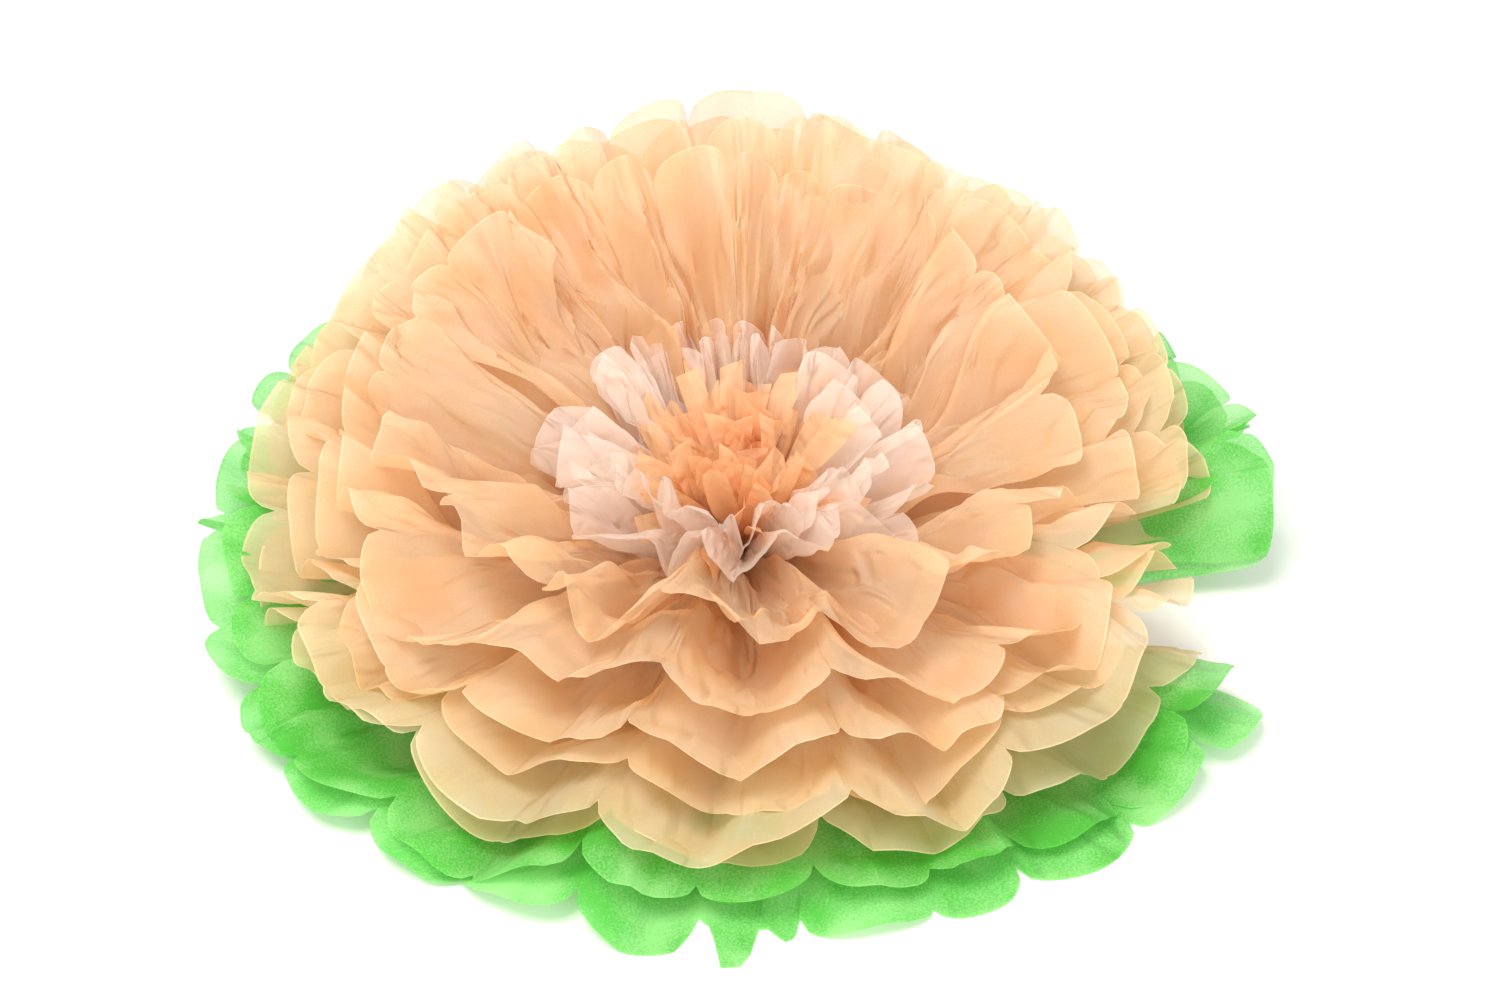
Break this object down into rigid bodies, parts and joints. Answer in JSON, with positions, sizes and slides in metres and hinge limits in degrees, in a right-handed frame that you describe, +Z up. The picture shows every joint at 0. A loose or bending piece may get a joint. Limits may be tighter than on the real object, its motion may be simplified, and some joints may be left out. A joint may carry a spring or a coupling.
{
  "type": "paper flower",
  "caption": "Giant tissue paper flower lying on its green leaf sheets, with scalloped peach petal sheets, a pale ring and a fringed heart, pleated together and tied at the waist",
  "frame": {"origin": "on the floor, under the middle of the flower's outer box", "axes": "+Z up out of the flower's face, +Y towards the high back petals, +X to the right, where the leaf sheets are open"},
  "size_m": [0.4872, 0.484, 0.1579],
  "materials": {
    "leaf_green": "matte",
    "petal_peach": "matte",
    "ring_pale": "matte",
    "heart_orange": "matte",
    "tie_steel": "satin"
  },
  "bodies": {
    "root": {"leaf_lower": "leaf_green", "leaf_upper": "leaf_green", "petal_1": "petal_peach", "petal_2": "petal_peach", "petal_3": "petal_peach", "petal_4": "petal_peach", "petal_5": "petal_peach", "petal_6": "petal_peach", "ring_1": "ring_pale", "ring_2": "ring_pale", "heart_1": "heart_orange", "heart_2": "heart_orange", "heart_3": "heart_orange", "tie_wire": "tie_steel"}
  },
  "joints": []
}
